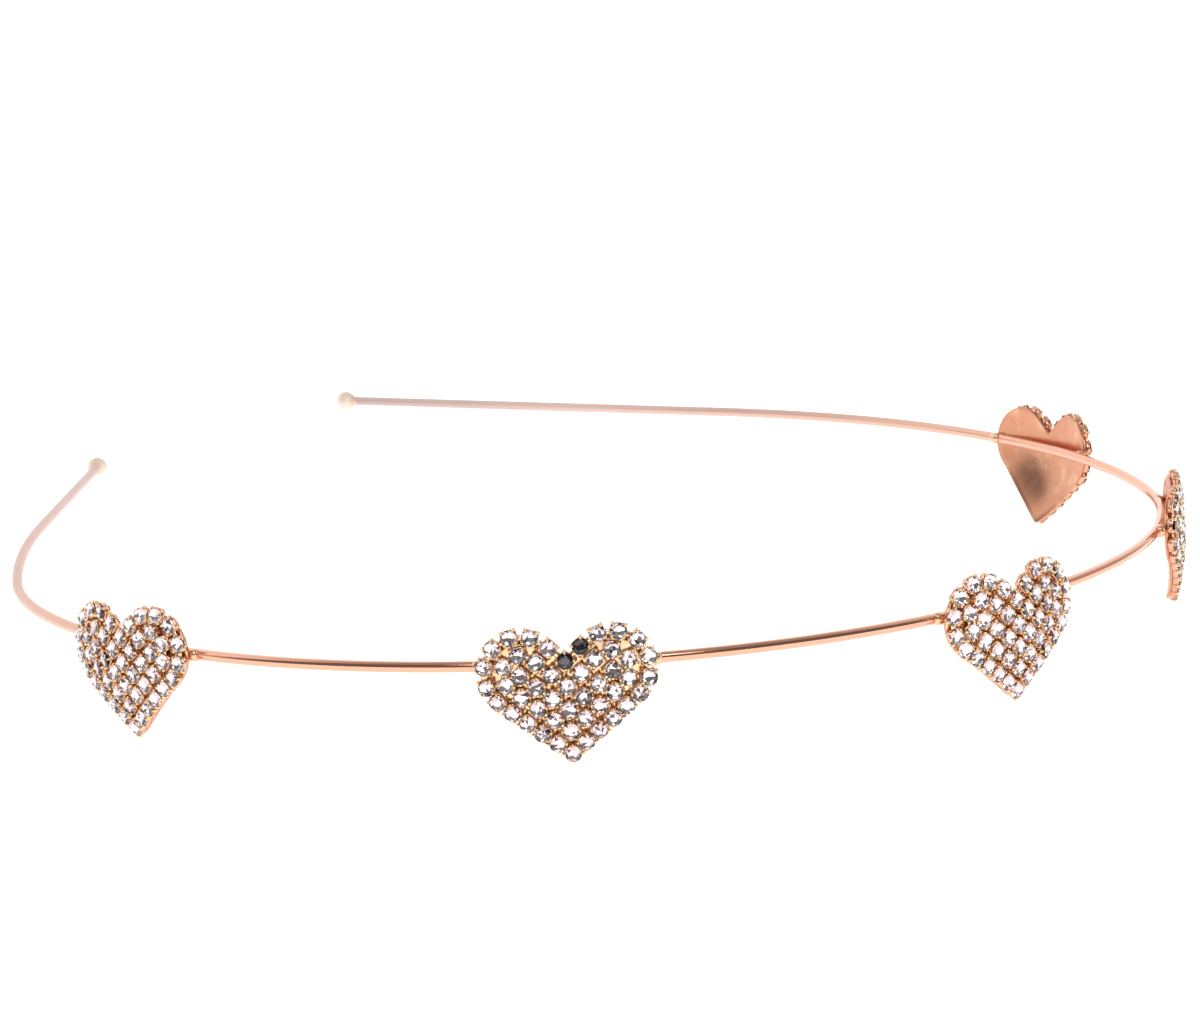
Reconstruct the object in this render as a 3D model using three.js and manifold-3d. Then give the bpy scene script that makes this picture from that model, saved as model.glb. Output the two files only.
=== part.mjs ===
// Heart headband: a sprung wire hoop with ball ends and five domed hearts set with round cut stones.
// Millimetres, +Z up. The hoop lies flat on the tips of its hearts, with the middle heart towards -Y.
import * as THREE from "three";
import { mergeVertices } from "three/addons/utils/BufferGeometryUtils.js";
import Module from "manifold-3d";

// Driving dimensions of the hoop
const WIRE_DIAMETER = 1.1;
const WIRE_HEIGHT = 9.8; // wire centre behind the middle heart, above the surface under the tips
const WIRE_SLOPE = 0.0088; // fall of the wire towards its ends
const FRONT_RADIUS = 62.5; // bend behind the hearts, shared by both sides
const BALL_DIAMETER = 2.4;
const NECK_LENGTH = 1.3; // cone of solder between the wire and a ball
const NECK_DIAMETER = 1.7;

// The two sides of the hoop, from the middle heart to the end: turns in degrees, a straight leg last
const SIDES = {
  left: { sign: -1, frontTurn: 122.6, shoulderRadius: 162, shoulderTurn: 11.4, leg: 36.4 },
  right: { sign: 1, frontTurn: 56.4, shoulderRadius: 86, shoulderTurn: 54.9, leg: 56 },
};

// The hearts from left to right: place along the wire from the middle heart, then small turns in degrees.
// Swing is about the upright, lean is to the heart's right in its own plane, tilt brings its top outward.
const HEARTS = [
  { place: -94.6, swing: 0, lean: -3.8, tilt: -2.4 },
  { place: -46.5, swing: 0, lean: -1.5, tilt: -1.6 },
  { place: 0, swing: 0, lean: -0.6, tilt: -3.5 },
  { place: 45, swing: 0.8, lean: 0.2, tilt: -1.4 },
  { place: 91.1, swing: 3.5, lean: 0.4, tilt: 5.6 },
];

// Driving dimensions of a heart, measured from its middle, which lies over the wire
const HEART_HEIGHT = 9.55; // a heart's middle above the surface under its tip
const LOBE_RADIUS = 4.47;
const LOBE_SPREAD = 4.35; // lobe centre from the middle line
const LOBE_HEIGHT = -0.2; // lobe centre above the heart's middle
const NOTCH_HEIGHT = 1.7; // bottom of the notch above the heart's middle
const TIP_DEPTH = 9.4; // sharp corner of the stones' setting below the heart's middle, before its trim
const TRIM_DEPTH = 9.2; // flat end of the setting's tip
const PLATE_TIP_DEPTH = 10.24; // sharp corner of the plate, before the surface under it flattens the tip
const PLATE_NOTCH_HEIGHT = 1.4;
const DOME_RADIUS = 32; // hollow back of the plate
const BACK_OFFSET = 1.3; // deepest point of the hollow, outward of the wire's centre
const PLATE_THICKNESS = 0.45;
const PLATE_INSET = 0.3;
const SETTING_GAP = 0.3; // between the plate and the stones' setting
const SETTING_THICKNESS = 0.35;

// Solder tabs that hold the wire to the plate's two edges
const TAB_DIAMETER = 1.6;
const TAB_LENGTH = 2;
const TAB_PLACE = 8.6; // tab's middle from the heart's middle, along the wire
const TAB_OFFSET = -0.2; // tab's axis outward of the heart's middle

// Stones stand in rows that follow the outline at an inset and dip to a stone under the notch.
// The outer row stands closer along the lower edges, and the innermost row is an open V.
const ROWS = [
  { inset: 0.8, notch: 0.9, stones: 24, edgePitch: 1.76 },
  { inset: 2.62, notch: -1.63, stones: 18 },
  { inset: 4.3, stones: 7 },
];
const STONE_DIAMETER = 1.56; // at the girdle
const TABLE_DIAMETER = 0.96;
const CROWN_HEIGHT = 0.5;
const STONE_SINK = 0.18; // stone below the top of the setting
const STONE_FACETS = 8;

// Fineness of the facets
const WIRE_STEPS = 84;
const WIRE_SIDES = 8;
const BALL_SIDES = 12;
const OUTLINE_DIVISIONS = 5;
const DOME_SIDES = 12;
const DOME_RINGS = 2;

const WIRE_RADIUS = WIRE_DIAMETER / 2;
const DOME_REACH = 12; // radius of the dish that a heart is cut from
const DOME_CENTRE = BACK_OFFSET - DOME_RADIUS; // along the heart's outward axis
const SETTING_LOW = PLATE_THICKNESS + SETTING_GAP;
const SETTING_HIGH = SETTING_LOW + SETTING_THICKNESS;
const CUT_SIZE = 400; // edge of the block that flattens the tips
const MERGE_DISTANCE = 1e-4;
const UP = new THREE.Vector3(0, 0, 1);

const wasm = await Module();
wasm.setup();

// A closed geometry as a solid that can be joined and cut
function solidFrom(geometry) {
  const bare = geometry.clone();
  bare.deleteAttribute("normal");
  bare.deleteAttribute("uv");
  const merged = mergeVertices(bare, MERGE_DISTANCE);
  const corners = merged.index.array;
  const kept = [];
  for (let i = 0; i < corners.length; i += 3) {
    const [a, b, c] = corners.slice(i, i + 3);
    if (a !== b && b !== c && c !== a) kept.push(a, b, c);
  }
  return new wasm.Manifold(
    new wasm.Mesh({
      numProp: 3,
      vertProperties: new Float32Array(merged.attributes.position.array),
      triVerts: new Uint32Array(kept),
    }),
  );
}

function geometryFrom(solid) {
  const { vertProperties, triVerts } = solid.getMesh();
  const geometry = new THREE.BufferGeometry();
  geometry.setAttribute("position", new THREE.BufferAttribute(vertProperties, 3));
  geometry.setIndex(new THREE.BufferAttribute(triVerts, 1));
  geometry.computeVertexNormals();
  return geometry;
}

function joined(solids) {
  return solids.reduce((all, next) => all.add(next));
}

// Centre line of the hoop: smooth arcs in the plane of the wire, measured from the middle heart
class HoopCurve extends THREE.Curve {
  constructor(sides) {
    super();
    this.left = HoopCurve.stretches(sides.left);
    this.right = HoopCurve.stretches(sides.right);
    this.start = -this.left.length;
    this.end = this.right.length;
  }

  static stretches({ sign, frontTurn, shoulderRadius, shoulderTurn, leg }) {
    const front = THREE.MathUtils.degToRad(frontTurn);
    const shoulder = THREE.MathUtils.degToRad(shoulderTurn);
    const arcs = [
      { span: FRONT_RADIUS * front, turn: front },
      { span: shoulderRadius * shoulder, turn: shoulder },
      { span: leg, turn: 0 },
    ];
    return { sign, arcs, length: arcs.reduce((sum, arc) => sum + arc.span, 0) };
  }

  // Point and level heading at a signed distance along the wire
  along(distance) {
    const { sign, arcs } = distance < 0 ? this.left : this.right;
    let rest = Math.abs(distance);
    let heading = 0;
    const point = new THREE.Vector3();
    for (const { span, turn } of arcs) {
      const run = Math.min(rest, span);
      const swept = (turn * run) / span;
      const chord = swept ? (2 * span * Math.sin(swept / 2)) / turn : run;
      const course = heading + swept / 2;
      point.x += sign * chord * Math.cos(course);
      point.y += chord * Math.sin(course);
      heading += swept;
      rest -= run;
    }
    point.z = WIRE_HEIGHT - WIRE_SLOPE * point.y;
    return { point, tangent: new THREE.Vector3(Math.cos(heading), sign * Math.sin(heading), 0) };
  }

  getPoint(t, target = new THREE.Vector3()) {
    return target.copy(this.along(THREE.MathUtils.lerp(this.start, this.end, t)).point);
  }
}

const hoop = new HoopCurve(SIDES);

function wireSolid() {
  const section = new THREE.Shape().absarc(0, 0, WIRE_RADIUS, 0, 2 * Math.PI);
  return solidFrom(
    new THREE.ExtrudeGeometry(section, {
      steps: WIRE_STEPS,
      curveSegments: WIRE_SIDES / 2,
      extrudePath: hoop,
      bevelEnabled: false,
    }),
  );
}

// Ball with its neck, turned about the wire's direction at one end of the hoop
function ballEnd(distance) {
  const radius = BALL_DIAMETER / 2;
  const neck = NECK_DIAMETER / 2;
  const meeting = Math.asin(neck / radius);
  const arc = new THREE.Path().absarc(0, 0, radius, meeting - Math.PI / 2, Math.PI / 2);
  const base = new THREE.Vector2(WIRE_RADIUS, -radius * Math.cos(meeting) - NECK_LENGTH);
  const profile = [new THREE.Vector2(0, base.y), base, ...arc.getPoints(BALL_SIDES / 4)];
  const { point, tangent } = hoop.along(distance);
  const outward = tangent.multiplyScalar(Math.sign(distance));
  const turn = new THREE.Quaternion().setFromUnitVectors(new THREE.Vector3(0, 1, 0), outward);
  const geometry = new THREE.LatheGeometry(profile, BALL_SIDES);
  geometry.applyQuaternion(turn);
  geometry.translate(point.x, point.y, point.z);
  return solidFrom(geometry);
}

// Solder tab along the wire at one edge of a heart
function solderTab(heart, side) {
  const { point, tangent } = hoop.along(heart.place + side * TAB_PLACE);
  const frame = heartMatrix(heart);
  const outward = new THREE.Vector3().setFromMatrixColumn(frame, 2);
  const reached = point.clone().applyMatrix4(frame.clone().invert()).z;
  point.addScaledVector(outward, TAB_OFFSET - reached);
  const geometry = new THREE.CylinderGeometry(TAB_DIAMETER / 2, TAB_DIAMETER / 2, TAB_LENGTH, WIRE_SIDES);
  geometry.applyQuaternion(new THREE.Quaternion().setFromUnitVectors(new THREE.Vector3(0, 1, 0), tangent));
  return solidFrom(geometry.translate(point.x, point.y, point.z));
}

// Right half of the outline, or of a row inside it: from the tip along the edge, round the lobe and
// down to the notch. A row without a notch ends where its lobe begins.
function halfOutline(inset, tip, notch) {
  const lobe = new THREE.Vector2(LOBE_SPREAD, LOBE_HEIGHT);
  const reach = Math.hypot(lobe.x, lobe.y + tip);
  const lean = Math.asin(lobe.x / reach) + Math.asin(LOBE_RADIUS / reach);
  const radius = LOBE_RADIUS - inset;
  const path = new THREE.Path();
  path.moveTo(0, inset / Math.sin(lean) - tip);
  path.lineTo(lobe.x + radius * Math.cos(lean), lobe.y - radius * Math.sin(lean));
  if (notch === undefined) return path;
  const drop = lobe.y - notch;
  const slope = Math.atan2(drop, lobe.x) + Math.asin(radius / Math.hypot(lobe.x, drop));
  path.absarc(lobe.x, lobe.y, radius, -lean, slope + Math.PI / 2);
  path.lineTo(0, notch);
  return path;
}

// Both halves of a point list whose first point, and last if closed, lie on the middle line
function mirrored(points, open = false) {
  const inner = points.slice(1, open ? points.length : -1);
  const left = inner.map(({ x, y }) => new THREE.Vector2(-x, y)).reverse();
  return [...points, ...left];
}

// Round dish with a spherical hollow, between two heights above its hollow side
function dish(low, high) {
  const profile = [];
  for (let ring = 0; ring <= DOME_RINGS; ring++) profile.push(dishPoint(ring, low));
  for (let ring = DOME_RINGS; ring >= 0; ring--) profile.push(dishPoint(ring, high));
  return solidFrom(new THREE.LatheGeometry(profile, DOME_SIDES).rotateX(Math.PI / 2));
}

// Point of the dish's profile: distance from its axis, and height outward of the wire's centre
function dishPoint(ring, height) {
  const angle = (Math.asin(DOME_REACH / DOME_RADIUS) * ring) / DOME_RINGS;
  const radius = DOME_RADIUS + height;
  return new THREE.Vector2(radius * Math.sin(angle), radius * Math.cos(angle) + DOME_CENTRE);
}

// Heart cut out of a dish
function domedHeart(inset, tip, notch, low, high) {
  const outline = new THREE.Shape(mirrored(halfOutline(inset, tip, notch).getPoints(OUTLINE_DIVISIONS)));
  const prism = new THREE.ExtrudeGeometry(outline, { depth: 2 * DOME_REACH, bevelEnabled: false });
  return dish(low, high).intersect(solidFrom(prism.translate(0, 0, -DOME_REACH)));
}

// Places of the stones in the heart's plane, row by row
function stonePlaces() {
  return ROWS.flatMap(({ inset, notch, stones, edgePitch }) => {
    const open = notch === undefined;
    const half = halfOutline(inset, TIP_DEPTH, notch);
    const length = half.getLength();
    const steps = open ? (stones - 1) / 2 : stones / 2;
    const low = edgePitch ? steps / 2 : 0;
    const high = steps - low;
    const points = [];
    for (let step = 0; step <= steps; step++) {
      const edge = Math.min(step, low) * (edgePitch ?? 0);
      const rest = (Math.max(step - low, 0) * (length - low * (edgePitch ?? 0))) / high;
      points.push(half.getPoint((edge + rest) / length));
    }
    return mirrored(points, open);
  });
}

// Facets of one stone as a pointed cone at its place, standing straight out of the dome
function stoneCone({ x, y }) {
  const slope = (STONE_DIAMETER - TABLE_DIAMETER) / 2 / CROWN_HEIGHT;
  const foot = STONE_DIAMETER / 2 + slope * STONE_SINK;
  const height = foot / slope;
  const radius = DOME_RADIUS + SETTING_HIGH;
  const place = new THREE.Vector3(x, y, Math.sqrt(radius ** 2 - x ** 2 - y ** 2));
  const outward = place.clone().normalize();
  const geometry = new THREE.ConeGeometry(foot, height, STONE_FACETS);
  geometry.translate(0, height / 2 - STONE_SINK, 0);
  geometry.applyQuaternion(new THREE.Quaternion().setFromUnitVectors(new THREE.Vector3(0, 1, 0), outward));
  geometry.translate(place.x, place.y, place.z + DOME_CENTRE);
  return solidFrom(geometry);
}

// Block whose top face lies at a height along one axis
function blockBelow(height, axis) {
  const block = new THREE.BoxGeometry(CUT_SIZE, CUT_SIZE, CUT_SIZE);
  const middle = new THREE.Vector3().setComponent(axis, height - CUT_SIZE / 2);
  return solidFrom(block.translate(middle.x, middle.y, middle.z));
}

// Setting and stones in one, with the cones cut off flat at their tables
function stoneFieldSolid() {
  const setting = domedHeart(0, TIP_DEPTH, NOTCH_HEIGHT, SETTING_LOW, SETTING_HIGH);
  const pointed = joined([setting, ...stonePlaces().map(stoneCone)]);
  const field = pointed.intersect(dish(0, SETTING_HIGH + CROWN_HEIGHT));
  return field.subtract(blockBelow(-TRIM_DEPTH, 1));
}

// Frame of a heart on the wire: X along the wire, Y up, Z outward, then its swing, tilt and lean
function heartMatrix({ place, swing, lean, tilt }) {
  const { point, tangent } = hoop.along(place);
  const frame = new THREE.Matrix4().makeBasis(tangent, UP, tangent.clone().cross(UP));
  frame.setPosition(point.setZ(HEART_HEIGHT));
  frame.multiply(new THREE.Matrix4().makeRotationY(THREE.MathUtils.degToRad(swing)));
  frame.multiply(new THREE.Matrix4().makeRotationX(THREE.MathUtils.degToRad(tilt)));
  return frame.multiply(new THREE.Matrix4().makeRotationZ(THREE.MathUtils.degToRad(-lean)));
}

function bandMesh() {
  const heart = domedHeart(PLATE_INSET, PLATE_TIP_DEPTH, PLATE_NOTCH_HEIGHT, 0, PLATE_THICKNESS);
  const plate = geometryFrom(heart);
  const plates = HEARTS.map((place) => solidFrom(plate.clone().applyMatrix4(heartMatrix(place))));
  const tabs = HEARTS.flatMap((heart) => [solderTab(heart, -1), solderTab(heart, 1)]);
  const metal = joined([wireSolid(), ballEnd(hoop.start), ballEnd(hoop.end), ...tabs, ...plates]);
  const material = new THREE.MeshStandardMaterial({ color: "#dfa386", metalness: 1, roughness: 0.18 });
  const mesh = new THREE.Mesh(geometryFrom(metal.subtract(blockBelow(0, 2))), material);
  mesh.name = "band";
  return mesh;
}

function stoneFieldMeshes() {
  const geometry = geometryFrom(stoneFieldSolid());
  return HEARTS.map((heart, index) => {
    const material = new THREE.MeshStandardMaterial({ color: "#e9e3ea", metalness: 0, roughness: 0.05 });
    const mesh = new THREE.Mesh(geometry, material);
    mesh.name = `heart_stones_${index + 1}`;
    mesh.applyMatrix4(heartMatrix(heart));
    return mesh;
  });
}

// The whole headband, moved so that its origin is under the middle of its box
const headband = new THREE.Group();
headband.add(bandMesh(), ...stoneFieldMeshes());
const middle = new THREE.Box3().setFromObject(headband, true).getCenter(new THREE.Vector3());
headband.position.set(-middle.x, -middle.y, 0);

export default headband;
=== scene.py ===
import math
import random
from typing import NamedTuple

import bmesh
import bpy
from mathutils import Matrix, Vector, noise


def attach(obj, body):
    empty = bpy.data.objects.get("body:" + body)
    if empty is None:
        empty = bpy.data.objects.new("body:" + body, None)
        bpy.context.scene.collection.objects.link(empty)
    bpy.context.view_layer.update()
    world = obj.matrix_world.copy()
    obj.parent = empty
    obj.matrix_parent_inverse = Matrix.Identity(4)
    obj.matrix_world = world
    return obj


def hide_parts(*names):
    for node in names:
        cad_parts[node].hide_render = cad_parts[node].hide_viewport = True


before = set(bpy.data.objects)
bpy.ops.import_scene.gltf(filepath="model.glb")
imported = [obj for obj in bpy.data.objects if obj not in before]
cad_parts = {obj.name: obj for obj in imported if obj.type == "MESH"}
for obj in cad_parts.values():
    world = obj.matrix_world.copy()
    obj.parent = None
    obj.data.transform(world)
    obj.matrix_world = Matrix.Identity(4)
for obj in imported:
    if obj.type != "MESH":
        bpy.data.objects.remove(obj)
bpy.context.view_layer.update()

bl_info = {
    "name": "Heart headband",
    "version": (1, 0, 0),
    "blender": (4, 5, 0),
    "location": "View3D > Sidebar > Headband",
    "description": "Builds a sprung wire headband with five domed hearts of claw-set stones",
    "category": "Object",
}

BODY = "root"
MM = 0.001
UP = Vector((0, 0, 1))
SIDES = (("left", -1), ("right", 1))

# Fineness of the meshes
WIRE_SIDES = 20
ARC_STEP = math.radians(1.6)
BALL_SIDES = 32
BALL_STEPS = 12
OUTLINE_STEPS = 52
LOBE_STEPS = 40
EDGE_STEPS = 10
TIP_PASSES = 2
ROUND_STEPS = 4
SOLDER_SIDES = 20
CLAW_SIDES = 6
TABLE_SIDES = 8
FLOOR_CELLS = 8

# Small proportions
NECK_FOOT = 0.47  # foot of a ball's neck from its middle, in wire diameters
NECK_CURVE = ((0.3, 0.82), (0.65, 0.9), (1, 1))  # shares of the neck's length and of its straight width
DISH_SHARES = (0.88, 0.8, 0.7, 0.57, 0.42, 0.25, 0.1)  # rings of a plate's dish, as shares of its outline
DISH_DROP = 1.2 * MM  # middle of those rings below the middle of the heart
ROUND_SHARE = 0.3  # rounding of solder and of claw tips, in diameters
SOLDER_SWELL = 0.08  # unevenness of the solder, as a share of its size
SOLDER_LUMP = 0.9 * MM
LINK_REACH = 1.5  # longest strap between two cups, in cup sides
BACK_POINT = (0.12 * MM, 0.05 * MM)  # silvered point off the middle of a stone
STONE_ROCK = 0.07  # uneven seat of the stones, in radians
# Painted shade: silvered facets whose value passes LIT_FACET are painted dark
LIT_FACET = 0.7  # silvered facets with a higher value look dark

# Floor and camera
FLOOR_REACH = 6  # metres from the middle of the floor to its edge
FLOOR_CLOUD = 1.02  # brightest patches, as a multiple of the floor's colour
SENSOR_WIDTH = 36  # millimetres
CAMERA_REACH = 100  # metres

# Limits that sort the parts of a mesh
SHARP = 1  # radians, less than the turn at an edge that is rounded
OUTWARD = 0.6  # least Z of the normal of a face that looks out of the front
WALL_AREA = 0.15e-6  # square metres, less than a face of a cup's wall or bottom
FLAT = math.radians(0.5)  # facets that meet at a smaller angle are one
SAME_PLACE = 1e-7  # metres between points that are merged
ON_MIDDLE = 1e-6  # metres from the middle line

# Stretches of the wire, along Y in metres, where its colour is painted paler, a painted glare on the far
# legs, and where its plating turns dull
GLARE_STRETCH = (-0.05, 0.08)
DULL_STRETCH = (-0.05, 0.03)

# Soft edges of the room's zones: where each begins and where it is whole
FRONT_EDGE = (0.02, 0.32)
RIGHT_EDGE = (0.4, 0.8)
OVERHEAD_EDGE = (0.72, 0.95)
GAP_EDGE = (0, 0.6)
AHEAD_EDGE = (0, 0.1)

# Seeds of the uneven details
CUP_SEED = 3
BACK_SEED = 5
STONE_SEED = 7


class Heart(NamedTuple):
    """Millimetres along the wire from the middle heart, turns in degrees, spare millimetres of plate."""

    place: float
    swing: float
    lean: float
    tilt: float
    margin: float


class Row(NamedTuple):
    """Row of stones at an inset from the outline, in millimetres; one without a notch is an open V."""

    inset: float
    notch: float | None
    stones: int
    edge_pitch: float


HEARTS = (
    Heart(-94.6, 0, -3.8, -2.4, 0),
    Heart(-46.5, 0, -1.5, -1.6, 0),
    Heart(0, 0, -0.6, -3.5, 0),
    Heart(45, 0.8, 0.2, -1.4, 0),
    Heart(91.1, 3.5, 0.4, 5.6, 0.25),
)
ROWS = (Row(0.8, 0.9, 24, 1.76), Row(2.62, -1.63, 18, 0), Row(4.3, None, 7, 0))

# Stones that have lost the silver behind them, as heart number and place in the first row
DULL_STONES = {(2, 11), (2, 12)}

# Share of the silvered facets painted dark, heart by heart: painted shade for facets that would reflect the
# dark parts of the room
SHADED = (0.08, 0.15, 0.06, 0.1, 0.1)


# Settings that a user would change
def length(name, millimetres, description):
    return bpy.props.FloatProperty(
        name=name, description=description, default=millimetres * MM, unit="LENGTH", precision=5
    )


def angle(name, degrees, description):
    return bpy.props.FloatProperty(
        name=name, description=description, default=math.radians(degrees), subtype="ANGLE", unit="ROTATION"
    )


def amount(name, default, description, unit="NONE"):
    return bpy.props.FloatProperty(
        name=name, description=description, default=default, unit=unit, precision=4
    )


def position(name, millimetres, description):
    return bpy.props.FloatVectorProperty(
        name=name,
        description=description,
        default=[part * MM for part in millimetres],
        size=len(millimetres),
        subtype="XYZ",
        unit="LENGTH",
    )


def colour(name, default, description):
    return bpy.props.FloatVectorProperty(
        name=name, description=description, default=default, size=3, subtype="COLOR", min=0, max=1
    )


class HoopSizes(bpy.types.PropertyGroup):
    """Sizes of the wire hoop and its ball ends."""

    middle: position("Middle", (-1.0962, -78.6317), "Where the wire passes behind the middle heart")
    wire_diameter: length("Wire diameter", 1.1, "Thickness of the wire")
    wire_height: length("Wire height", 9.8, "Wire centre behind the middle heart, above the tips")
    wire_slope: amount("Wire slope", 0.0088, "Fall of the wire towards its ends")
    front_radius: length("Front radius", 62.5, "Bend behind the hearts")
    left_front_turn: angle("Left front turn", 122.6, "Turn of the front bend to the left")
    left_shoulder_radius: length("Left shoulder radius", 162, "Wider bend before the left leg")
    left_shoulder_turn: angle("Left shoulder turn", 11.4, "Turn of the left shoulder")
    left_leg: length("Left leg", 36.4, "Straight wire up to the left ball")
    right_front_turn: angle("Right front turn", 56.4, "Turn of the front bend to the right")
    right_shoulder_radius: length("Right shoulder radius", 86, "Wider bend before the right leg")
    right_shoulder_turn: angle("Right shoulder turn", 54.9, "Turn of the right shoulder")
    right_leg: length("Right leg", 56, "Straight wire up to the right ball")
    ball_diameter: length("Ball diameter", 2.4, "Ball on each end of the wire")
    neck_length: length("Neck length", 1.3, "Cone of solder between wire and ball")
    neck_diameter: length("Neck diameter", 1.7, "Solder cone where it meets the ball")


class HeartSizes(bpy.types.PropertyGroup):
    """Sizes of a heart's outline, of its plate and of the solder that holds it."""

    height: length("Heart height", 9.45, "Middle of a heart above the surface under its tip")
    lobe_radius: length("Lobe radius", 4.47, "Round of a lobe")
    lobe_spread: length("Lobe spread", 4.35, "Lobe centre from the middle line")
    lobe_height: length("Lobe height", -0.2, "Lobe centre above the middle")
    tip_depth: length("Tip depth", 9.4, "Corner of the stones' outline below the middle")
    plate_lobe_radius: length("Plate lobe radius", 3.86, "Round of the plate's lobe")
    plate_lobe_spread: length("Plate lobe spread", 4.5, "Plate's lobe centre from the middle line")
    plate_lobe_height: length("Plate lobe height", -0.4, "Plate's lobe centre above the middle")
    plate_tip_depth: length("Plate tip depth", 9.2, "Corner of the plate below the middle")
    plate_notch: length("Plate notch", 0.9, "Bottom of the plate's notch above the middle")
    plate_bulge: length("Plate bulge", 0.05, "Outward curve of the plate's straight edges")
    plate_thickness: length("Plate thickness", 0.36, "Pressed sheet of the plate")
    rim_round: length("Rim round", 0.15, "Rounding of the plate's edge")
    tip_round: length("Tip round", 0.5, "Stretch of the plate's tip that is rounded off")
    dome_radius: length("Dome radius", 32, "Hollow back of the plate")
    back_offset: length("Back offset", 1.3, "Deepest point of the hollow, outward of the wire")
    tab_diameter: length("Solder diameter", 1.4, "Lump of solder on the wire")
    tab_length: length("Solder length", 1.6, "Lump of solder along the wire")
    tab_place: length("Solder place", 8.4, "Lump of solder from the middle of its heart")
    tab_offset: length("Solder offset", -0.2, "Lump of solder outward of the heart's middle")


class StoneSizes(bpy.types.PropertyGroup):
    """Sizes of the cut stones and of their claw cups."""

    girdle_level: length("Girdle level", 1.1, "Widest part of a stone above the plate's hollow side")
    girdle_diameter: length("Stone diameter", 1.66, "Stone at its widest")
    table_diameter: length("Table diameter", 0.9, "Flat top of a stone")
    star_diameter: length("Star diameter", 1.36, "Corners of the facets round the table")
    crown_height: length("Crown height", 0.22, "Table above the widest part")
    back_depth: length("Back depth", 0.14, "Silvered point below the widest part")
    back_star_diameter: length("Back star diameter", 0.8, "Corners of the facets round the point")
    back_play: length("Back play", 0.05, "Uneven depth of the silvered facets")
    cup_side: length("Cup side", 1.58, "Square cup across its flats")
    cup_corner: length("Cup corner", 0.28, "Corner cut off a cup")
    cup_drop: length("Cup drop", 0.1, "Cup's edge below the stone's widest part")
    cup_depth: length("Cup depth", 0.6, "Wall of a cup")
    seat_depth: length("Seat depth", 0.1, "Seat of a stone below the edge of its cup")
    cup_wall: length("Cup wall", 0.1, "Thickness of a cup's wall")
    claw_diameter: length("Claw diameter", 0.36, "Claw at its foot")
    claw_tip_diameter: length("Claw tip", 0.3, "Claw at its tip")
    claw_length: length("Claw length", 0.56, "Claw from foot to tip")
    claw_reach: length("Claw reach", 0.87, "Middle of a claw from the middle of its stone")
    claw_drop: length("Claw drop", 0.08, "Middle of a claw below the stone's widest part")
    claw_lean: angle("Claw lean", 28, "Lean of a claw over its stone")
    cup_play: angle("Cup play", 4, "Uneven turn of the cups")
    link_width: length("Link width", 0.6, "Strap between neighbouring cups")
    link_thickness: length("Link thickness", 0.12, "Sheet of a strap")
    link_level: length("Link level", 0.82, "Strap above the plate's hollow side")


class Finishes(bpy.types.PropertyGroup):
    """Colours of the metals and the stones."""

    rose: colour("Rose gold", (0.67, 0.315, 0.195), "Plating of the hearts")
    rose_wire: colour("Rose wire", (0.86, 0.45, 0.31), "Plating of the front wire")
    # Pale rose: painted glare on the far ends of the wire, and the faint rose clouds on the balls
    rose_pale: colour("Pale rose", (0.83, 0.62, 0.56), "Plating towards the ends of the wire")
    cream: colour("Cream gold", (0.98, 0.8, 0.66), "Plating of the balls")
    rose_deep: colour("Deep rose", (0.55, 0.22, 0.12), "Deeper stains in the plating")
    claw: colour("Claw gold", (0.98, 0.71, 0.43), "Warm plating of the claw cups")
    claw_deep: colour("Deep claw gold", (0.82, 0.49, 0.25), "Deeper clouds in the plating of the claw cups")
    solder: colour("Solder gold", (0.86, 0.56, 0.36), "Plated solder")
    glass: colour("Stone", (1.0, 0.985, 0.985), "Clear cut glass")
    glass_tint: colour("Stone tint", (0.97, 0.9, 0.92), "Tinge of some stones")
    silver: colour("Silvering", (0.98, 0.965, 0.96), "Silver behind a stone")
    # Painted reflection: a pinkish half-tone on some silvered facets
    silver_painted_half_tone: colour("Silver tint", (0.94, 0.79, 0.81), "Tinge of the silvering")
    # Painted shade: silvered facets painted dark, in place of dark reflections
    silver_painted_shade: colour("Silver shade", (0.13, 0.085, 0.08), "Silvered facets that look dark")
    silver_dull: colour("Dull backing", (0.09, 0.08, 0.09), "Backing without its silver")
    floor: colour("Floor", (0.95, 0.95, 0.95), "Pale floor")


class StageSizes(bpy.types.PropertyGroup):
    """Camera, room and lights."""

    camera_place: position("Camera place", (-288.908, -357.882, 102.054), "Where the camera stands")
    heading: angle("Heading", 40.286, "Level direction of the camera, from +Y towards +X")
    pitch: angle("Pitch", 11.351, "Downward look of the camera")
    roll: angle("Roll", -3.13, "Turn of the picture about the line of sight")
    lens: amount("Lens", 124.387, "Focal length on a sensor 36 mm wide", "CAMERA")
    room_light: amount("Room light", 1.15, "Brightness of the back and the left of the room")
    right_light: amount("Right light", 0.5, "Brightness of the right of the room")
    front_light: amount("Front light", 0.17, "Brightness behind the camera")
    overhead_light: amount("Overhead light", 0.42, "Brightness overhead")
    gap_light: amount("Gap light", 0.07, "Share of the light that is left in the dark gap")
    gap_direction: bpy.props.FloatVectorProperty(
        name="Gap direction",
        description="Direction of the dark gap between the reflectors",
        default=(-0.575, 0.81, 0.115),
        size=3,
        subtype="DIRECTION",
    )
    gap_width: amount("Gap width", 0.24, "Half width of the dark gap on a sphere of radius 1")
    gap_height: amount("Gap height", 0.125, "Half height of the dark gap on a sphere of radius 1")
    key_place: position("Key light place", (-460, -500, 720), "Where the large light hangs")
    key_target: position("Key light target", (-30, -60, 0), "Point that the large light faces")
    key_size: length("Key light size", 520, "Side of the large light")
    key_power: amount("Key light power", 2.6, "Power of the large light", "POWER")
    edge_place: position("Edge light place", (500, -650, 300), "Where the small light hangs")
    edge_target: position("Edge light target", (0, 0, 0), "Point that the small light faces")
    edge_size: length("Edge light size", 250, "Side of the small light")
    edge_power: amount("Edge light power", 1, "Power of the small light", "POWER")


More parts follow.
